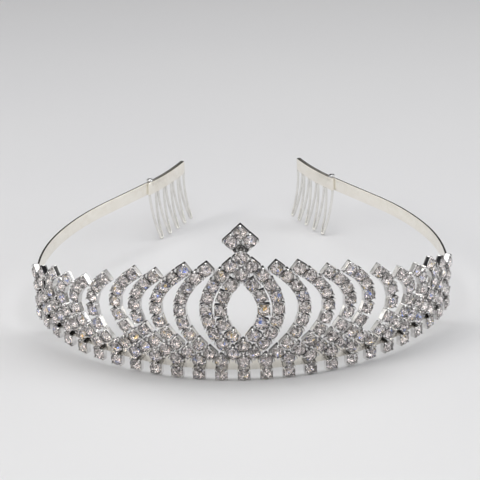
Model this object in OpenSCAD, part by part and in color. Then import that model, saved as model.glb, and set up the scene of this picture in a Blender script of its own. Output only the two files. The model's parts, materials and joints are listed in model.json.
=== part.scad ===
// Bridal tiara: a horseshoe headband carries a front panel of round stones in claw
// cups, and a comb hangs under each of its ends. It stands on its middle drop cups
// and on the points of its combs. Millimetres, +Z up, front towards -Y.
//
// Places on the panel are given as [u, v, turn]: u is the length along the headband
// from the middle of the front, v is the height above the panel's lower edge, and
// turn is the direction in which the chain of cups runs there.

/* [Headband] */
// Height of the flat strip
band_h = 4.7; // [4:0.1:5]
// Thickness of the strip
band_t = 0.7; // [0.5:0.1:1]
// Height of the strip's lower edge above the panel's lower edge
band_v = 2.6; // [2.4:0.1:3]
// Bend radius across the front
front_r = 71; // [68:1:74]
// Length of the front bend, from the middle to one side
front_len = 46.5; // [44:0.5:49]
// Bend radius round the side of the head
side_r = 58.5; // [57:0.5:60]
// Length of the side bend
side_len = 76.5; // [74:0.5:79]
// Bend radius behind the ear
rear_r = 79; // [75:1:83]
// Length of the bend behind the ear
rear_len = 26.5; // [24:0.5:29]
// Length of the straight arm in front of the comb
arm_len = 21.5; // [18:0.5:25]
// Outward bend radius where the comb sits
comb_r = 75; // [70:1:90]
// Angle by which the combs raise the back of the headband
tilt = 6.8; // [6:0.1:7.5]

/* [Combs] */
// Length of a comb's spine
comb_len = 22; // [20:0.5:24]
// Height of the spine
spine_h = 4.7; // [4:0.1:5]
// Thickness of the spine
spine_t = 0.8; // [0.6:0.1:1.2]
// Teeth on each comb
teeth = 5; // [4:1:5]
// Space between the two legs of a tooth, where they leave the spine
tooth_gap = 2.5; // [2:0.1:2.6]
// Thickness of the wire that the teeth are bent from
wire_d = 0.9; // [0.7:0.1:1]
// How far a tooth hooks inwards, towards the head
tooth_hook = 3.5; // [2.5:0.1:4.5]

/* [Cups and stones] */
// Width of a square cup
cup_w = 3.85; // [3.75:0.05:3.85]
// Least distance between cups in a chain
cup_pitch = 3.88; // [3.86:0.01:3.9]
// Height of a cup's walls
cup_h = 1.7; // [1.5:0.1:1.9]
// Diameter of a stone at its girdle
stone_d = 3.75; // [3.5:0.05:3.75]
// Distance between the cups of the drop row
drop_pitch = 6.5; // [6.3:0.05:6.7]
// Drop cups on each side of the middle one
drops = 12; // [12:1:13]
// Height of the foot row above the drop row
foot_rise = 4.4; // [4.35:0.05:4.5]
// Height at which the arches start, above the foot row
seat_rise = 2.5; // [2.4:0.05:2.6]

/* [Panel] */
// Height of the crest cup, at the top of the oval's outer ring
outer_top = 40.4; // [40.2:0.1:40.4]
// Half width of the outer ring, between the centres of its cups
outer_half = 10.3; // [10.2:0.1:10.3]
// Height of the top cup of the oval's inner ring
inner_top = 34.9; // [34.7:0.1:34.9]
// Height of the bottom cup of the inner ring
inner_foot = 11.5; // [11.3:0.1:11.5]
// Half width of the inner ring, between the centres of its cups
inner_half = 6.1; // [6:0.1:6.1]
// Height of the middle of the finial
finial_v = 44.9; // [44.8:0.1:45]
// Distance from the middle to the first arch, at its widest
first_column = 17.9; // [17.5:0.1:18.5]
// Distance between one arch and the next, at their widest
column_pitch = 7.3; // [7.2:0.05:7.4]
// Most that an arch bows out, as a multiple of half its height
bow_limit = 0.66; // [0.64:0.01:0.68]

/* [Hidden] */
$fn = 48;
// Runs of the headband from the middle of the front to its end: [length, bend radius]
RUNS = [
    [front_len, front_r], [side_len, side_r], [rear_len, rear_r], [arm_len, 0], [comb_len, -comb_r]
];
comb_start = front_len + side_len + rear_len + arm_len;
band_end = comb_start + comb_len;
band_top = band_v + band_h;

// Cup and stone, measured out from the face of the headband
cup_floor = 0.4;
cup_bore = 3.6;
cup_chamfer = 0.4;
prong_d = 0.46;
prong_h = 2.1;
prong_at = 1.53;
link_w = 1.4;
link_t = 0.6;
link_into = 0.6;
girdle_t = 0.16;
pavilion_h = cup_h - cup_floor;
table_d = 2;
crown_h = 0.62;
culet_d = 0.2;
stone_clear = 0.08;

// Rows at the foot of the panel
drop_v = cup_w / 2;
foot_v = drop_v + foot_rise;
seat_v = foot_v + seat_rise;
// Turn of a cup that stands on its corner, as those of the foot row and of each arch's start do
CORNERWISE = 45;

// The middle of each arch's peak cup, from the middle of the panel outwards: [u, v]
PEAKS = [
    [10, 36.4], [16.5, 35.6], [25.3, 32.8], [32, 32.2], [41.8, 28.4],
    [50, 24.8], [57.4, 23], [64.6, 22], [72.4, 18.6], [80, 15.2]
];
ARCHES = len(PEAKS);
// Every gap between two foot cups carries an arch, apart from this one on each side,
// which a filler cup closes
FILLED_GAP = 5;
SAMPLES = 40;
STRIP_STEP = 2;

// The finial stands behind the crest cup: its lowest cup is soldered to the back of it
finial_out = band_t / 2 - cup_h;

// The tilted headband is set down on the ground, with its middle over the origin
lift = (band_t / 2 + cup_h) * sin(tilt);
// The stone of the crest cup is the furthest forward
stone_reach = band_t / 2 + cup_floor + stone_clear + pavilion_h + girdle_t + crown_h;
front_y = -stone_reach * cos(tilt) - (outer_top + table_d / 2) * sin(tilt);
back_y = station(band_end).y * cos(tilt) - band_v * sin(tilt);
tooth_side = tooth_gap / 2 + wire_d;
// The foremost tooth of a comb just reaches the ground
first_tooth = station(comb_start + tooth_side);
first_tip_y = first_tooth.y + (spine_t + tooth_hook) * cos(first_tooth.z);
tooth_tip_v = (wire_d / 2 - lift - first_tip_y * sin(tilt)) / cos(tilt);
tooth_len = band_top - spine_h - tooth_tip_v;
tooth_bend_r = (tooth_len * tooth_len + tooth_hook * tooth_hook) / (2 * tooth_hook);
tooth_run = tooth_bend_r * asin(tooth_len / tooth_bend_r) * PI / 180;
tooth_end_r = 0.55;
LEG_STEPS = 6;
END_STEPS = 6;
WIRE_SIDES = 8;

GOLD_WHITE = [0.87, 0.85, 0.80];
SILVER = [0.80, 0.80, 0.82];
CRYSTAL = [0.74, 0.74, 0.80];

SIDES = [["left", -1], ["right", 1]];

// ---- Places along the headband and on the panel ----

// [x, y, heading] after going a length on from p, on a bend of radius r (0 is straight)
function advance(p, length, r) =
    r == 0
    ? [p.x + length * cos(p.z), p.y + length * sin(p.z), p.z]
    : let (h = p.z + length / r * 180 / PI)
      [p.x + r * (sin(h) - sin(p.z)), p.y - r * (cos(h) - cos(p.z)), h];

// [x, y, heading] at a length s along the right half of the headband
function station(s, i = 0, p = [0, 0, 0]) =
    i == len(RUNS) - 1 || s <= RUNS[i][0]
    ? advance(p, s, RUNS[i][1])
    : station(s - RUNS[i][0], i + 1, advance(p, RUNS[i][0], RUNS[i][1]));

// [x, y] at a distance out from the middle of the headband's thickness; s < 0 is the left half
function beside(s, out) =
    let (p = station(abs(s)), side = s < 0 ? -1 : 1)
    [side * (p.x + out * sin(p.z)), p.y - out * cos(p.z)];

// Length along a line of points, up to each point
function lengths(pts) =
    [for (k = 0, sum = 0; k < len(pts);
          sum = sum + (k < len(pts) - 1 ? norm(pts[k + 1] - pts[k]) : 0), k = k + 1) sum];

// Evenly spaced cups along a line of points, leaving out some at each end
function spaced(pts, skip_first = 0, skip_last = 0) =
    let (
        run = lengths(pts),
        total = run[len(run) - 1],
        steps = floor(total / cup_pitch),
        us = [for (k = [0:len(pts) - 1]) [run[k], pts[k].x]],
        vs = [for (k = [0:len(pts) - 1]) [run[k], pts[k].y]]
    )
    [for (j = [skip_first:steps - skip_last])
        let (
            at = j * total / steps,
            back = max(at - 0.5, 0),
            ahead = min(at + 0.5, total),
            du = lookup(ahead, us) - lookup(back, us),
            dv = lookup(ahead, vs) - lookup(back, vs)
        )
        [lookup(at, us), lookup(at, vs), atan2(dv, du)]];

// A line that leaves one point, bows out by a distance at mid height, and ends at another
function bowed(start, end, bow) =
    [for (k = [0:SAMPLES])
        let (t = 2 * k / SAMPLES - 1)
        (start + end) / 2 + t * (end - start) / 2 + [bow * (1 - t * t), 0]];

// The same chain on the other side of the panel
function mirrored(chain, side) = [for (c = chain) [side * c[0], c[1], side > 0 ? c[2] : 180 - c[2]]];

function gap_seat(gap) = [(gap + 0.5) * drop_pitch, seat_v];

function seat(i) = gap_seat(i + 1 < FILLED_GAP ? i + 1 : i + 2);

function arch_bow(i) =
    min(
        first_column + i * column_pitch - (seat(i).x + PEAKS[i].x) / 2,
        bow_limit * (PEAKS[i].y - seat(i).y) / 2
    );

function arch_chain(i, side) =
    let (chain = spaced(bowed(seat(i), PEAKS[i], arch_bow(i))))
    mirrored([for (k = [0:len(chain) - 1]) k > 0 ? chain[k] : [seat(i).x, seat(i).y, CORNERWISE]], side);

// Up one side of a ring, over its top cup and down the other side, leaving out its foot
function ring(foot, top, half_w) =
    let (half = spaced(bowed([0, foot], [0, top], half_w), 1, 1), down = mirrored(half, -1))
    concat(half, [[0, top, CORNERWISE]], [for (k = [len(down) - 1:-1:0]) down[k]]);

// The foot of the outer ring is the middle cup of the foot row
function outer_chain() = ring(foot_v, outer_top, outer_half);

function inner_chain() =
    concat([[0, inner_foot, CORNERWISE]], ring(inner_foot, inner_top, inner_half));

function row(v, turn) = [for (k = [-drops:drops]) [k * drop_pitch, v, turn]];

function fillers() = [for (side = [-1, 1]) [side * gap_seat(FILLED_GAP).x, seat_v, CORNERWISE]];

// The lowest cup of the finial first, then round to the left, the top and the right
function finial_chain() =
    [for (turn = [180:90:450])
        [cup_pitch / sqrt(2) * sin(turn), finial_v + cup_pitch / sqrt(2) * cos(turn), CORNERWISE]];

function finial_seats() = [for (k = [1:3]) finial_chain()[k]];

// ---- Frames ----

module stood_up() translate([0, -(front_y + back_y) / 2, lift]) rotate([tilt, 0, 0]) children();

// Local x runs along the headband, y is up the panel and z faces out of it
module on_panel(s, v, turn = 0, out = band_t / 2) {
    p = station(abs(s));
    side = s < 0 ? -1 : 1;
    translate([side * p.x, p.y, v]) rotate([90, 0, side * p.z])
        translate([0, 0, out]) rotate([0, 0, turn]) children();
}

module on_side(side) mirror([side < 0 ? 1 : 0, 0, 0]) children();

// ---- Headband ----

// A flat strip that follows the headband from s0 to s1, from depth d0 to d1 outwards
module strip(s0, s1, d0, d1, height) {
    steps = ceil((s1 - s0) / STRIP_STEP);
    inner = [for (k = [0:steps]) beside(s0 + (s1 - s0) * k / steps, d0)];
    outer = [for (k = [steps:-1:0]) beside(s0 + (s1 - s0) * k / steps, d1)];
    translate([0, 0, band_top - height]) linear_extrude(height) polygon(concat(inner, outer));
}

module headband()
    color(GOLD_WHITE) stood_up() strip(-band_end, band_end, -band_t / 2, band_t / 2, band_h);

// ---- Combs ----

module comb_spine(side)
    color(GOLD_WHITE) stood_up() on_side(side)
        strip(comb_start, band_end, -band_t / 2 - spine_t, -band_t / 2, spine_h);

// Middle line of a tooth, as [across, down]: down one leg, round the end and up the other
function tooth_line() =
    let (
        leg_x = tooth_side - wire_d / 2,
        leg_run = tooth_run - tooth_end_r,
        leg = [for (k = [0:LEG_STEPS - 1])
            [leg_x + (tooth_end_r - leg_x) * k / LEG_STEPS, leg_run * k / LEG_STEPS]],
        end = [for (k = [0:END_STEPS])
            let (a = 180 * k / END_STEPS)
            [tooth_end_r * cos(a), leg_run + tooth_end_r * sin(a)]]
    )
    concat(leg, end, [for (k = [LEG_STEPS - 1:-1:0]) [-leg[k].x, leg[k].y]]);

// The wire's outline round one point of the line, once the tooth is bent inwards
function wire_ring(p, heading) =
    let (
        bend = p.y / tooth_bend_r * 180 / PI,
        centre = [p.x, -tooth_bend_r * sin(bend), -tooth_bend_r * (1 - cos(bend))],
        outwards = [0, -sin(bend), cos(bend)],
        sideways = heading.y * [1, 0, 0] - heading.x * [0, -cos(bend), -sin(bend)]
    )
    [for (k = [0:WIRE_SIDES - 1])
        let (a = 360 * k / WIRE_SIDES)
        centre + wire_d / 2 * (cos(a) * outwards + sin(a) * sideways)];

// A hairpin of wire
module tooth() {
    line = tooth_line();
    last = len(line) - 1;
    rings = [for (k = [0:last])
        let (d = line[min(k + 1, last)] - line[max(k - 1, 0)])
        wire_ring(line[k], k == 0 || k == last ? [0, k == 0 ? 1 : -1] : d / norm(d))];
    n = WIRE_SIDES;
    polyhedron(
        points = [for (ring = rings, p = ring) p],
        faces = concat(
            [[for (k = [0:n - 1]) k]],
            [[for (k = [n - 1:-1:0]) last * n + k]],
            [for (j = [0:last - 1], k = [0:n - 1])
                [j * n + k, (j + 1) * n + (k + 1) % n, j * n + (k + 1) % n]],
            [for (j = [0:last - 1], k = [0:n - 1])
                [j * n + k, (j + 1) * n + k, (j + 1) * n + (k + 1) % n]]
        )
    );
}

module comb_teeth(side)
    color(SILVER) stood_up() on_side(side)
        for (k = [0:teeth - 1])
            on_panel(
                comb_start + tooth_side + k * (comb_len - 2 * tooth_side) / (teeth - 1),
                band_top - spine_h, 0, -(band_t + spine_t) / 2
            ) tooth();

// A bead of solder on the top edges of the band and the spine, where the comb starts
module comb_solder(side) {
    bead_r = 1.3;
    color(SILVER) stood_up() on_side(side) on_panel(comb_start + bead_r, band_top, 0, -spine_t / 2)
        rotate([-90, 0, 0]) intersection() {
            sphere(r = bead_r);
            translate([0, 0, bead_r / 2]) cube([3 * bead_r, band_t + spine_t, bead_r], center = true);
        }
}

// ---- Cups and stones ----

// A square with its corners cut off
module cup_outline() {
    a = cup_w / 2;
    b = a - cup_chamfer;
    polygon([[a, b], [b, a], [-b, a], [-a, b], [-a, -b], [-b, -a], [b, -a], [a, -b]]);
}

// A square wall round a bored seat
module cup_wall()
    difference() {
        linear_extrude(cup_h) cup_outline();
        translate([0, 0, cup_floor]) cylinder(d = cup_bore, h = cup_h);
    }

// A claw cup has a prong in each corner
module cup() {
    cup_wall();
    for (x = [-1, 1], y = [-1, 1])
        translate([x * prong_at, y * prong_at, 0]) cylinder(d = prong_d, h = prong_h);
}

// A round brilliant stone: pavilion, girdle, crown and table
module stone()
    translate([0, 0, cup_floor + stone_clear]) rotate_extrude() polygon([
        [0, 0], [culet_d / 2, 0], [stone_d / 2, pavilion_h], [stone_d / 2, pavilion_h + girdle_t],
        [table_d / 2, pavilion_h + girdle_t + crown_h], [0, pavilion_h + girdle_t + crown_h]
    ]);

// A tab across the back of a chain, from within one cup to within the next
module link(a, b, out) {
    tab = norm([b[0] - a[0], b[1] - a[1]]) - cup_w + 2 * link_into;
    on_panel((a[0] + b[0]) / 2, (a[1] + b[1]) / 2, atan2(b[1] - a[1], b[0] - a[0]), out)
        translate([-tab / 2, -link_w / 2, 0]) cube([tab, link_w, link_t]);
}

module links(chain, out = band_t / 2)
    color(SILVER) stood_up() for (k = [0:len(chain) - 2]) link(chain[k], chain[k + 1], out);

module cups(chain, out = band_t / 2)
    color(SILVER) stood_up() for (c = chain) on_panel(c[0], c[1], c[2], out) cup();

module stones(chain, out = band_t / 2)
    color(CRYSTAL) stood_up() for (c = chain) on_panel(c[0], c[1], c[2], out) stone();

module linked_cups(chain) {
    cups(chain);
    links(chain);
}

// ---- Panel ----

// Three cups hold stones, and the lowest has neither claws nor a stone
module finial_cups() {
    low = finial_chain()[0];
    cups(finial_seats(), finial_out);
    color(SILVER) stood_up() on_panel(low[0], low[1], low[2], finial_out) cup_wall();
    links(concat(finial_chain(), [low]), finial_out);
}

// ---- The object ----

headband();
for (side = SIDES) {
    comb_spine(side[1]);
    comb_teeth(side[1]);
    comb_solder(side[1]);
    for (i = [1:ARCHES]) {
        arch = str(side[0], "_arch_", i);
        linked_cups(arch_chain(i - 1, side[1]));
        stones(arch_chain(i - 1, side[1]));
    }
}
finial_cups();
stones(finial_seats(), finial_out);  // finial_stones
linked_cups(outer_chain());  // oval_outer_cups
stones(outer_chain());  // oval_outer_stones
linked_cups(concat(inner_chain(), [inner_chain()[0]]));  // oval_inner_cups
stones(inner_chain());  // oval_inner_stones
cups(row(drop_v, 0));  // drop_row_cups
stones(row(drop_v, 0));  // drop_row_stones
cups(row(foot_v, CORNERWISE));  // foot_row_cups
stones(row(foot_v, CORNERWISE));  // foot_row_stones
cups(fillers());  // filler_cups
stones(fillers());  // filler_stones
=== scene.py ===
import json
import math
import random

import bmesh
import bpy
import numpy as np
from mathutils import Matrix, Vector, noise


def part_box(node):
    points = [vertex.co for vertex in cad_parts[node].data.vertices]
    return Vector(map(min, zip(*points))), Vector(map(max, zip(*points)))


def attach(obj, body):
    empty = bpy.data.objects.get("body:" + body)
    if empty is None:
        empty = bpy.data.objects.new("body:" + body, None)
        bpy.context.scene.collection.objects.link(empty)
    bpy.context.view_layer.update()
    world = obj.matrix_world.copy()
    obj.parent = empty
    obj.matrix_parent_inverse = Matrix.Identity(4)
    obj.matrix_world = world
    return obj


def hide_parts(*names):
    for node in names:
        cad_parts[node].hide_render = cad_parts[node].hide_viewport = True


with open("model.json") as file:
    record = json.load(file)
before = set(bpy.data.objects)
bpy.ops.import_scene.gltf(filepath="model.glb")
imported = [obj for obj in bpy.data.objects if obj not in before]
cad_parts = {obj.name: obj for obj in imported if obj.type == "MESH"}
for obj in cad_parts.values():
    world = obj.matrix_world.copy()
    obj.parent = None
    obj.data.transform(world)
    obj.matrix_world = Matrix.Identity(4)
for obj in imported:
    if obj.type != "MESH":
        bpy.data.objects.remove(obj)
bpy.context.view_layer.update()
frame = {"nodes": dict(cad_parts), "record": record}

# Bridal tiara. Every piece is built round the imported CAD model: a cup, a claw or a stone
# is drawn once in millimetres, on its own axis, and set at each place where the CAD has one.

MM = 0.001

# The seed of the stones' turns, and how close two points of a mesh count as one, in metres
SEED = 11
WELD = 1e-6

# How the CAD builds a cup and a stone, measured out from the face of the headband
STONE_BASE = 0.48
PRONG_H = 2.1
PRONG_AT = 1.53
PRONG_R = 0.23
GIRDLE_R = 1.875
GIRDLE_LOW = 1.78
GIRDLE_HIGH = 1.94
TABLE_R = 1.0
TABLE_Z = 2.56

# Finding a cup's turn from its claws in the CAD: where the claws' ends are, how near is near,
# and the number of steps in a quarter turn
CLAW_FROM = 1.6
CLAW_TO = 2.7
NEAR = 0.05
TURN_STEPS = 180

# Where a stone's facets meet above and below the girdle, and how far askew it may sit, in degrees
KITE_R = 1.37
BACK_R = 0.95
ASKEW = 2.2

# A cup, in millimetres. Its walls are half width, height and dip, from the back round the rim
# to the inside, and its seat is radius and height.
CUP_HALF = 1.925
CUP_CORNER = 0.3
CUP_RIM = 1.74
RIM_DIP = 0.12
CUP_WALLS = (
    (1.62, 0.0, 0.0), (1.86, 0.08, 0.0), (CUP_HALF, 0.3, 0.0), (CUP_HALF, 0.38, 0.0),
    (1.9, CUP_RIM - 0.14, RIM_DIP), (1.895, CUP_RIM - 0.06, RIM_DIP), (1.87, CUP_RIM, RIM_DIP),
    (1.82, CUP_RIM, RIM_DIP), (1.8, 1.55, 0.1),
)
CUP_SEAT = ((1.72, 1.45), (1.5, 0.95), (0.8, 0.42))

# The points on a side of the cup, as shares of its flat half, and round a corner, in degrees
SIDE_POINTS = (-0.9, -0.5, 0, 0.5, 0.9)
CORNER_POINTS = (0, 30, 60, 90)

# A claw's middle line, as distance from the cup's axis and height, and its half thickness and
# half width at each point
CLAW_LINE = ((2.42, 0.9), (2.46, 1.6), (2.42, 2.0), (2.24, 2.22), (1.98, 2.30), (1.74, 2.31))
CLAW_RADII = ((0.08, 0.24), (0.12, 0.30), (0.12, 0.29), (0.12, 0.26), (0.11, 0.22), (0.07, 0.14))

# The tab between two cups: how far apart their middles may be, its width, thickness, eased edge
# and lift, and where it starts, as a share of the cup's half width
LINK_REACH = 5.0
LINK_W = 1.4
LINK_T = 0.6
LINK_EASE = 0.12
LINK_LIFT = 0.02
LINK_START = 0.6

# The comb wire's radius, that of a tooth's closed end, and the steps along a leg and round the end
WIRE_R = 0.45
TOOTH_END_R = 0.55
LEG_STEPS = 14
END_STEPS = 10

# A strip's rounded edge in millimetres, and the angles, in degrees, below which faces are joined
# into one flat and above which an edge is rounded
EDGE_EASE = 0.2
FLAT_BELOW = 0.4
EDGE_ABOVE = 40

# A solder bead's unevenness: its share of the radius, how fine it is and where the noise is read
LUMP = 0.1
LUMP_SCALE = 1.7
LUMP_AT = (3, 5, 7)

# The angles, in degrees, below which each kind of piece is shaded smooth
STRIP_SMOOTH = 35
CUP_SMOOTH = 38
WIRE_SMOOTH = 50
BEAD_SMOOTH = 60

record = frame["record"]
mounts = {m["name"]: m for m in record["mounts"]}
UP = -Vector(mounts["left_comb"]["axis"]).normalized()
SIDES = ("left", "right")
ARCHES = sum(1 for name in frame["nodes"] if name.startswith("left_arch_") and name.endswith("_cups"))
RUNS = ["finial", "oval_outer", "oval_inner", "drop_row", "foot_row", "filler"]
RUNS += [f"{side}_arch_{i}" for side in SIDES for i in range(1, ARCHES + 1)]


# ---- Camera, floor and light ----

# Where the camera stands, in millimetres from the floor under the middle of the headband's front,
# its turns in degrees, its lens and sensor in millimetres, and its near limit in metres
VIEW_FROM = Vector((2.68, -488.8, 221.9))
VIEW_DOWN = 20.03
VIEW_TURN = 0.33
VIEW_ROLL = -1.54
LENS = 136
SENSOR = 36
CLIP_START = 0.01

# The room: its strength, its dark and bright tones, and how far sideways the bright walls start
WORLD = 1.3
ROOM_DARK = (0.02, 0.02, 0.022, 1)
ROOM_WALL = (1.0, 0.99, 0.97, 1)
WALL_FROM = 0.6
WALL_FULL = 0.95

# Each light's name, place, target and size in metres, its power in watts and its colour
TOP_Y = 0.12
LIGHTS = (
    ("top", (0, TOP_Y, 0.85), (0, TOP_Y, 0), (1.0, 0.5), 4.7, (1, 1, 1)),
    ("key", (-0.75, -0.45, 0.6), (0, -0.02, 0.02), (0.3, 0.3), 1.8, (1, 0.97, 0.93)),
    ("fill", (0.85, -0.2, 0.45), (0, -0.02, 0.02), (0.25, 0.5), 1.4, (0.93, 0.96, 1)),
    ("front", (0, -0.8, 0.75), (0, -0.06, 0.02), (0.9, 0.35), 3.9, (1, 1, 1)),
)
FLOOR_HALF = 6


def look(obj, target):
    obj.rotation_euler = (Vector(target) - obj.location).to_track_quat("-Z", "Y").to_euler()


def camera():
    """The photograph's viewpoint: a long lens, a little above the panel."""
    front = Vector((0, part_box("headband")[0].y, 0))
    data = bpy.data.cameras.new("camera")
    data.sensor_width = SENSOR
    data.lens = LENS
    data.clip_start = CLIP_START
    obj = bpy.data.objects.new("camera", data)
    bpy.context.scene.collection.objects.link(obj)
    turn = (
        Matrix.Rotation(math.radians(VIEW_TURN), 4, "Z")
        @ Matrix.Rotation(math.radians(90 - VIEW_DOWN), 4, "X")
        @ Matrix.Rotation(math.radians(VIEW_ROLL), 4, "Z")
    )
    obj.matrix_world = Matrix.Translation(front + VIEW_FROM * MM) @ turn
    bpy.context.scene.camera = obj


def area_light(name, place, target, size, power, colour):
    data = bpy.data.lights.new(name, "AREA")
    data.shape = "RECTANGLE"
    data.size, data.size_y = size
    data.energy = power
    data.color = colour
    obj = bpy.data.objects.new(name, data)
    obj.location = place
    look(obj, target)
    bpy.context.scene.collection.objects.link(obj)


def studio():
    """Soft light from above, in front and both sides. The room is dark but for its two side walls."""
    world = bpy.data.worlds.new("studio")
    world.use_nodes = True
    tree = world.node_tree
    way = tree.nodes.new("ShaderNodeTexCoord")
    split = tree.nodes.new("ShaderNodeSeparateXYZ")
    sideways = tree.nodes.new("ShaderNodeMath")
    sideways.operation = "ABSOLUTE"
    ramp = tree.nodes.new("ShaderNodeValToRGB")
    tree.links.new(way.outputs["Generated"], split.inputs[0])
    tree.links.new(split.outputs["X"], sideways.inputs[0])
    tree.links.new(sideways.outputs[0], ramp.inputs["Fac"])
    tree.links.new(ramp.outputs["Color"], tree.nodes["Background"].inputs["Color"])
    ramp.color_ramp.elements[0].position = WALL_FROM
    ramp.color_ramp.elements[0].color = ROOM_DARK
    ramp.color_ramp.elements[1].position = WALL_FULL
    ramp.color_ramp.elements[1].color = ROOM_WALL
    tree.nodes["Background"].inputs["Strength"].default_value = WORLD
    bpy.context.scene.world = world
    bpy.context.scene.view_settings.view_transform = "Standard"
    for light in LIGHTS:
        area_light(*light)


def floor():
    mesh = bpy.data.meshes.new("floor")
    corners = [(x * FLOOR_HALF, y * FLOOR_HALF, 0) for x, y in ((-1, -1), (1, -1), (1, 1), (-1, 1))]
    mesh.from_pydata(corners, [], [(0, 1, 2, 3)])
    obj = bpy.data.objects.new("floor", mesh)
    bpy.context.scene.collection.objects.link(obj)
    obj.data.materials.append(floor_paper())


# ---- Materials ----

class Nodes:
    """A material's node tree, with short ways to add to it."""

    def __init__(self, name):
        self.material = bpy.data.materials.new(name)
        self.material.use_nodes = True
        self.tree = self.material.node_tree
        self.shader = self.tree.nodes["Principled BSDF"]
        self.place = self.tree.nodes.new("ShaderNodeTexCoord").outputs["Object"]

    def add(self, kind, links=None, **settings):
        node = self.tree.nodes.new(kind)
        for key, value in settings.items():
            setattr(node, key, value)
        for key, value in (links or {}).items():
            if isinstance(value, bpy.types.NodeSocket):
                self.tree.links.new(value, node.inputs[key])
            else:
                node.inputs[key].default_value = value
        return node

    def mapped(self, scale, turn=(0, 0, 0)):
        links = {"Vector": self.place, "Scale": scale, "Rotation": turn}
        return self.add("ShaderNodeMapping", links).outputs[0]

    def noise(self, scale, detail=2.0, where=None):
        links = {"Vector": where or self.place, "Scale": scale, "Detail": detail}
        return self.add("ShaderNodeTexNoise", links).outputs["Fac"]

    def ramp(self, value, low, high, start=0.3, end=0.7):
        """Colours or greys from low to high, as value goes from start to end."""
        node = self.add("ShaderNodeValToRGB", {"Fac": value})
        for element, at, tone in zip(node.color_ramp.elements, (start, end), (low, high)):
            element.position = at
            element.color = (*tone, 1) if isinstance(tone, tuple) else (tone, tone, tone, 1)
        return node.outputs["Color"]

    def bump(self, height, distance, strength=1.0):
        node = self.add("ShaderNodeBump", {"Height": height, "Distance": distance, "Strength": strength})
        self.set(Normal=node.outputs["Normal"])

    def set(self, **sockets):
        for key, value in sockets.items():
            socket = self.shader.inputs[key.replace("_", " ")]
            if isinstance(value, bpy.types.NodeSocket):
                self.tree.links.new(value, socket)
            else:
                socket.default_value = value


def plating(name, light, dark, rough, streaks=None, pits=0.35):
    """Bright plating, cloudy in tone and a little uneven in gloss: fine pits, or streaks on drawn metal."""
    n = Nodes(name)
    n.set(Base_Color=n.ramp(n.noise(420, 3), dark, light, 0.25, 0.6), Metallic=1.0)
    n.set(Roughness=n.ramp(n.noise(900, 4), rough[0], rough[1]))
    where = n.mapped(streaks[0], streaks[1]) if streaks else n.place
    n.bump(n.noise(1.0 if streaks else 2600, 3, where), 0.00002, pits)
    return n.material


def crystal():
    n = Nodes("crystal")
    tone = n.ramp(n.noise(230, 1), (0.93, 0.91, 0.92), (1.0, 0.99, 0.98))
    n.set(Base_Color=tone, Roughness=n.ramp(n.noise(500, 2), 0.0, 0.02), Transmission_Weight=1.0, IOR=1.62)
    return n.material


# The foil's spots: how fine they are, how deep in metres, the tones at the two ends of chance, and
# those between, each with the chance where it lies
SPOT_SCALE = 1900.0
SPOT_DEPTH = 0.0003
SPOT_ENDS = ((0.2, 0.19, 0.185, 1), (0.95, 0.93, 0.92, 1))
# The blue and amber tones among these are painted sparks: flashes of coloured light painted into the foil's
# colour
SPOT_TONES_AND_PAINTED_SPARKS = (
    (0.4, (0.97, 0.935, 0.92)), (0.9, (0.9, 0.87, 0.85)), (0.93, (0.35, 0.5, 1.0)),
    (0.955, (1.0, 0.82, 0.4)), (0.975, (0.93, 0.9, 0.9)),
)


def foil_with_painted_sparks():
    """The mirror at the back of a stone, broken into fine spots, a few of them painted sparks of coloured
    light.
    """
    n = Nodes("foil_with_painted_sparks")
    spots = n.add("ShaderNodeTexVoronoi", {"Vector": n.place, "Scale": SPOT_SCALE}).outputs
    chance = n.add("ShaderNodeSeparateColor", {"Color": spots["Color"]}).outputs["Red"]
    tone = n.add("ShaderNodeValToRGB", {"Fac": chance})
    stops = tone.color_ramp.elements
    stops[0].color, stops[1].color = SPOT_ENDS
    # The blue and amber stops paint a few spots as sparks of coloured light
    for at, colour in SPOT_TONES_AND_PAINTED_SPARKS:
        stops.new(at).color = (*colour, 1)
    n.set(Base_Color=tone.outputs["Color"], Metallic=1.0, Roughness=n.ramp(n.noise(700, 2), 0.02, 0.1))
    n.bump(spots["Distance"], SPOT_DEPTH)
    return n.material


def solder_metal():
    n = Nodes("solder")
    n.set(Base_Color=n.ramp(n.noise(700, 4), (0.42, 0.42, 0.43), (0.80, 0.80, 0.79)), Metallic=1.0)
    n.set(Roughness=n.ramp(n.noise(1500, 3), 0.16, 0.4))
    n.bump(n.noise(1300, 3), 0.00008, 0.5)
    return n.material


def floor_paper():
    n = Nodes("floor_paper")
    n.set(Base_Color=n.ramp(n.noise(3, 2), (0.745, 0.745, 0.76), (0.775, 0.775, 0.78)), Roughness=0.55)
    n.set(Specular_IOR_Level=0.25)
    return n.material


# ---- Mesh code ----

def mesh_object(name, verts, faces, materials, face_material=None, smooth_below=None):
    mesh = bpy.data.meshes.new(name)
    mesh.from_pydata([tuple(v) for v in verts], [], faces)
    for material in materials:
        mesh.materials.append(material)
    if face_material is not None:
        mesh.polygons.foreach_set("material_index", face_material)
    mesh.update()
    if smooth_below is not None:
        mesh.shade_smooth()
        mesh.set_sharp_from_angle(angle=math.radians(smooth_below))
    obj = bpy.data.objects.new(name, mesh)
    bpy.context.scene.collection.objects.link(obj)
    return obj


def loft(rings):
    """A closed skin over rings with the same number of points, capped at both ends."""
    count = len(rings[0])
    faces = []
    for j in range(len(rings) - 1):
        for k in range(count):
            after = (k + 1) % count
            faces.append((j * count + k, j * count + after, (j + 1) * count + after, (j + 1) * count + k))
    faces.append(tuple(range(count - 1, -1, -1)))
    faces.append(tuple((len(rings) - 1) * count + k for k in range(count)))
    return np.vstack(rings), faces


def joined(shapes):
    """Several (points, faces) as one."""
    points, faces, start = [], [], 0
    for shape_points, shape_faces in shapes:
        points.append(shape_points)
        faces += [tuple(start + i for i in face) for face in shape_faces]
        start += len(shape_points)
    return np.vstack(points), faces


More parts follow.
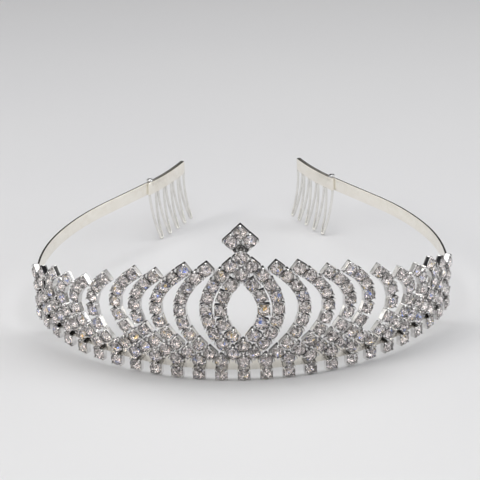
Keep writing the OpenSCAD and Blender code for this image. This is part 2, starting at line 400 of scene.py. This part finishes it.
def tube(line, radii, outward, sides=8):
    """A rod along a line of points; radii are (half thickness along outward, half width) at each."""
    rings = []
    for k, point in enumerate(line):
        along = line[min(k + 1, len(line) - 1)] - line[max(k - 1, 0)]
        along = along / np.linalg.norm(along)
        thick = outward[k] - along * (outward[k] @ along)
        thick = thick / np.linalg.norm(thick)
        wide = np.cross(along, thick)
        turn = [2 * math.pi * i / sides for i in range(sides)]
        rings.append(np.array([
            point + radii[k][0] * math.cos(a) * thick + radii[k][1] * math.sin(a) * wide for a in turn
        ]))
    return loft(rings)


# ---- Places read from the frame ----

def solids(node):
    """The points of each separate solid in a CAD node."""
    bm = bmesh.new()
    bm.from_mesh(frame["nodes"][node].data)
    bmesh.ops.remove_doubles(bm, verts=bm.verts, dist=WELD)
    found = []
    for first in bm.verts:
        if first.tag:
            continue
        first.tag = True
        stack, points = [first], []
        while stack:
            vert = stack.pop()
            points.append(vert.co[:])
            for edge in vert.link_edges:
                other = edge.other_vert(vert)
                if not other.tag:
                    other.tag = True
                    stack.append(other)
        found.append(np.array(points))
    bm.free()
    return found


def cup_turn(near):
    """How far a cup is turned on its axis, found from the ends of its claws in the CAD.

    The points near it are in millimetres, on its own axes.
    """
    reach = np.hypot(near[:, 0], near[:, 1])
    ends = near[(abs(near[:, 2] - PRONG_H) < NEAR) & (reach < CLAW_TO) & (reach > CLAW_FROM), :2]
    best = (-1, 0.0)
    for step in range(TURN_STEPS):
        turn = math.radians(90 * step / TURN_STEPS)
        angles = [turn + math.pi * (0.25 + k / 2) for k in range(4)]
        corners = PRONG_AT * math.sqrt(2) * np.array([(math.cos(a), math.sin(a)) for a in angles])
        away = np.linalg.norm(ends[:, None] - corners[None], axis=2).min(axis=1)
        best = max(best, (int((abs(away - PRONG_R) < NEAR).sum()), turn), key=lambda b: b[0])
    return best[1]


def seats(run):
    """A matrix for each cup of a run, from millimetres on the cup's own axes, Z out, to metres."""
    cups = np.array([v.co[:] for v in frame["nodes"][run + "_cups"].data.vertices])
    up = np.array(UP)
    found = []
    for points in solids(run + "_stones"):
        middle = points.mean(axis=0)
        axes = np.linalg.eigh(np.cov((points - middle).T))[1]
        out = axes[:, 0]
        if out @ (middle * (1, 1, 0)) < 0:
            out = -out
        origin = middle + out * (((points - middle) @ out).min() - STONE_BASE * MM)
        across = np.cross(up, out)
        across /= np.linalg.norm(across)
        axes = np.array([across, np.cross(out, across), out])
        turn = cup_turn((cups - origin) @ axes.T / MM)
        frame_matrix = Matrix.Translation(origin) @ Matrix(axes.T.tolist()).to_4x4()
        found.append(frame_matrix @ Matrix.Rotation(turn, 4, "Z") @ Matrix.Scale(MM, 4))
    return found


def moved(points, matrix):
    m = np.array(matrix)
    return points @ m[:3, :3].T + m[:3, 3]


# ---- Cups ----

def square_ring(half, z, dip=0.0):
    """A square with rounded corners, its sides dipping by dip at their middles."""
    corner = CUP_CORNER * half / CUP_HALF
    flat = half - corner
    ring = []
    for quarter in range(4):
        turn = math.pi / 2 * quarter
        cos, sin = math.cos(turn), math.sin(turn)
        local = [(half, flat * t) for t in SIDE_POINTS]
        local += [
            (flat + corner * math.cos(a), flat + corner * math.sin(a))
            for a in map(math.radians, CORNER_POINTS)
        ]
        for x, y in local:
            low = max(0.0, 1 - (min(abs(x), abs(y)) / flat) ** 2)
            ring.append((x * cos - y * sin, x * sin + y * cos, z - dip * low))
    return np.array(ring)


def round_ring(radius, z):
    """The same number of points as a square ring, in the same directions, on a circle."""
    ring = square_ring(CUP_HALF, z)
    ring[:, :2] *= radius / np.linalg.norm(ring[:, :2], axis=1)[:, None]
    return ring


def claw(quarter):
    """A claw rises from a corner of the cup and bends over the edge of the stone."""
    angle = math.pi / 4 + quarter * math.pi / 2
    side = np.array((math.cos(angle), math.sin(angle), 0))
    up = np.array((0, 0, 1.0))
    line = [r * side + np.array((0, 0, z)) for r, z in CLAW_LINE]
    outward = [side] * 3 + [side + up] + [up] * 2
    return tube(line, CLAW_RADII, outward, 6)


def cup_box():
    """A stamped box with flat walls, crisp at the rim, and a round seat for the stone."""
    walls = [square_ring(*wall) for wall in CUP_WALLS]
    return loft(walls + [round_ring(*step) for step in CUP_SEAT])


def cup_shape():
    return joined([cup_box()] + [claw(quarter) for quarter in range(4)])


def link_shape(a, b):
    """A flat tab across the backs of two cups, from one middle to the other, with eased edges."""
    start, end = np.array(a.translation), np.array(b.translation)
    out = np.array((a.col[2] + b.col[2])[:3])
    out /= np.linalg.norm(out)
    along = (end - start) / np.linalg.norm(end - start)
    out -= along * (out @ along)
    wide = np.cross(out, along)
    half, thick, ease, lift = LINK_W / 2 * MM, LINK_T * MM, LINK_EASE * MM, LINK_LIFT * MM
    outline = (
        (-half, ease), (-half + ease, lift), (half - ease, lift), (half, ease),
        (half, thick - ease), (half - ease, thick), (-half + ease, thick), (-half, thick - ease),
    )
    inset = CUP_HALF * LINK_START * MM
    span = np.linalg.norm(end - start)
    stops = (inset, span / 2, span - inset)
    return loft([np.array([start + along * d + wide * w + out * h for w, h in outline]) for d in stops])


def links(places):
    found = []
    for i, a in enumerate(places):
        for b in places[i + 1:]:
            if (a.translation - b.translation).length < LINK_REACH * MM:
                found.append(link_shape(a, b))
    return found


# ---- Stones ----

def stone_shape():
    """A round brilliant: table, stars, kites and halves above the girdle, mains and halves below it."""

    def ring(radius, z, count, start=0.0):
        turn = [2 * math.pi * (k + start) / count for k in range(count)]
        return [(radius * math.cos(a), radius * math.sin(a), z) for a in turn]

    crown_fall = (TABLE_Z - GIRDLE_HIGH) / (GIRDLE_R - TABLE_R)
    kite_z = TABLE_Z - crown_fall * (KITE_R * math.cos(math.pi / 8) - TABLE_R)
    back_fall = (GIRDLE_LOW - STONE_BASE) / GIRDLE_R
    back_z = STONE_BASE + back_fall * BACK_R * math.cos(math.pi / 8)
    points = ring(TABLE_R, TABLE_Z, 8) + ring(KITE_R, kite_z, 8, 0.5) + ring(GIRDLE_R, GIRDLE_HIGH, 16)
    points += ring(GIRDLE_R, GIRDLE_LOW, 16) + ring(BACK_R, back_z, 8, 0.5) + [(0, 0, STONE_BASE)]
    table, kite, high, low, back, culet = 0, 8, 16, 32, 48, 56
    crown, pavilion = [tuple(range(8))], []
    for k in range(8):
        after, before = (k + 1) % 8, (k - 1) % 8
        at, half, then = 2 * k, 2 * k + 1, (2 * k + 2) % 16
        crown.append((table + k, kite + k, table + after))
        crown.append((table + k, kite + before, high + at, kite + k))
        crown += [(kite + k, high + at, high + half), (kite + k, high + half, high + then)]
        crown.append((high + at, low + at, low + half, high + half))
        crown.append((high + half, low + half, low + then, high + then))
        pavilion.append((culet, back + k, low + at, back + before))
        pavilion += [(back + k, low + half, low + at), (back + k, low + then, low + half)]
    return np.array(points), crown + pavilion, [0] * len(crown) + [1] * len(pavilion)


def hidden_cup(places):
    """The finial's fourth cup, behind the crest cup, across the square from the highest of the three."""
    high = max(places, key=lambda place: place.translation @ UP)
    low = high.copy()
    low.translation = sum((p.translation for p in places if p is not high), Vector()) - high.translation
    return low


def build_cups(run, places, metal):
    points, faces = cup_shape()
    shapes = [(moved(points, place), faces) for place in places]
    if run == "finial":
        low = hidden_cup(places)
        box_points, box_faces = cup_box()
        shapes.append((moved(box_points, low), box_faces))
        places = places + [low]
    if run not in ("drop_row", "foot_row", "filler"):
        shapes += links(places)
    points, faces = joined(shapes)
    piece = mesh_object(run + "_claw_cups", points, faces, [metal], smooth_below=CUP_SMOOTH)
    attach(piece, "root")
    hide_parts(run + "_cups")


def build_stones(run, places, glass, mirror, rng):
    """Each stone is set a little askew and turned its own way, so that no two sparkle alike."""
    points, faces, back = stone_shape()
    shapes = []
    for place in places:
        askew = Matrix.Rotation(math.radians(rng.uniform(-ASKEW, ASKEW)), 4, "X")
        askew = askew @ Matrix.Rotation(math.radians(rng.uniform(-ASKEW, ASKEW)), 4, "Y")
        centre = Matrix.Translation((0, 0, GIRDLE_LOW))
        turned = centre @ askew @ Matrix.Rotation(rng.uniform(0, 2 * math.pi), 4, "Z") @ centre.inverted()
        shapes.append((moved(points, place @ turned), faces))
    points, faces = joined(shapes)
    piece = mesh_object(run + "_brilliants", points, faces, [glass, mirror], back * len(places))
    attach(piece, "root")
    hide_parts(run + "_stones")


# ---- Headband and combs ----

def eased_strip(node, name, metal):
    """The CAD strip with its long edges and corners rounded off."""
    bm = bmesh.new()
    bm.from_mesh(frame["nodes"][node].data)
    bmesh.ops.remove_doubles(bm, verts=bm.verts, dist=WELD)
    bmesh.ops.dissolve_limit(bm, angle_limit=math.radians(FLAT_BELOW), verts=bm.verts, edges=bm.edges)
    sharp = [e for e in bm.edges if e.is_manifold and e.calc_face_angle() > math.radians(EDGE_ABOVE)]
    bmesh.ops.bevel(
        bm, geom=sharp, offset=EDGE_EASE * MM, offset_type="OFFSET", segments=3, profile=0.5, affect="EDGES",
        clamp_overlap=True
    )
    mesh = bpy.data.meshes.new(name)
    bm.to_mesh(mesh)
    bm.free()
    mesh.materials.clear()
    mesh.materials.append(metal)
    mesh.shade_smooth()
    mesh.set_sharp_from_angle(angle=math.radians(STRIP_SMOOTH))
    piece = bpy.data.objects.new(name, mesh)
    bpy.context.scene.collection.objects.link(piece)
    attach(piece, "root")
    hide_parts(node)


def hairpin(points):
    """One tooth: a wire down one leg, round the end and up the other, bent inwards all the way down."""
    up = np.array(UP)
    height = points @ up
    top = points[height > height.max() - 0.1 * MM]
    middle = top.mean(axis=0)
    axes = np.linalg.eigh(np.cov((top - middle).T))[1]
    across = axes[:, 2]
    half = abs((top - middle) @ across).max() - WIRE_R * MM
    tip = points[height < height.min() + 0.5 * MM].mean(axis=0)
    drop = height.max() - height.min() - WIRE_R * MM
    inward = tip - middle
    inward -= up * (inward @ up) + across * (inward @ across)
    hook = np.linalg.norm(inward)
    inward /= hook
    bend = (drop * drop + hook * hook) / (2 * hook)
    end_r = TOOTH_END_R * MM
    leg = bend * math.asin(drop / bend) - end_r
    flat = [(half + (end_r - half) * k / LEG_STEPS, leg * k / LEG_STEPS) for k in range(LEG_STEPS)]
    angles = [math.pi * k / END_STEPS for k in range(END_STEPS + 1)]
    end = [(end_r * math.cos(a), leg + end_r * math.sin(a)) for a in angles]
    line, outward = [], []
    for x, down in flat + end + [(-x, down) for x, down in reversed(flat)]:
        angle = down / bend
        line.append(
            middle + across * x - up * bend * math.sin(angle) + inward * bend * (1 - math.cos(angle))
        )
        outward.append(-inward * math.cos(angle) - up * math.sin(angle))
    return tube(line, [(WIRE_R * MM, WIRE_R * MM)] * len(line), outward, 10)


def build_teeth(side, metal):
    points, faces = joined([hairpin(solid) for solid in solids(side + "_comb_teeth")])
    piece = mesh_object(side + "_comb_hairpins", points, faces, [metal], smooth_below=WIRE_SMOOTH)
    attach(piece, "root")
    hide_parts(side + "_comb_teeth")


def build_solder(side, metal):
    """A bead of solder that has run a little along the edge before it set."""
    low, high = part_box(side + "_comb_solder")
    middle, half = (low + high) / 2, (high - low) / 2
    bm = bmesh.new()
    bmesh.ops.create_icosphere(bm, subdivisions=4, radius=1.0)
    for vert in bm.verts:
        lump = 1 - LUMP + LUMP * noise.noise(vert.co * LUMP_SCALE + Vector(LUMP_AT))
        vert.co = Vector([middle[i] + half[i] * vert.co[i] * lump for i in range(3)])
    faces = [tuple(v.index for v in face.verts) for face in bm.faces]
    points = [v.co[:] for v in bm.verts]
    piece = mesh_object(side + "_solder_bead", points, faces, [metal], smooth_below=BEAD_SMOOTH)
    bm.free()
    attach(piece, "root")
    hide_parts(side + "_comb_solder")


# ---- The object ----

camera()
studio()
floor()

along_band = ((60, 60, 9000), (-math.asin(UP[1]), 0, 0))
band_metal = plating("band_plate", (0.93, 0.90, 0.83), (0.86, 0.82, 0.74), (0.14, 0.26), along_band)
wire_metal = plating("comb_wire", (0.84, 0.83, 0.80), (0.70, 0.69, 0.67), (0.12, 0.24))
cup_metal = plating("cup_plate", (0.86, 0.85, 0.84), (0.5, 0.49, 0.49), (0.04, 0.12), pits=0.08)
glass, mirror, tin = crystal(), foil_with_painted_sparks(), solder_metal()

eased_strip("headband", "band_strip", band_metal)
for side in SIDES:
    eased_strip(side + "_comb_spine", side + "_comb_bar", band_metal)
    build_teeth(side, wire_metal)
    build_solder(side, tin)

rng = random.Random(SEED)
for run in RUNS:
    places = seats(run)
    build_cups(run, places, cup_metal)
    build_stones(run, places, glass, mirror, rng)
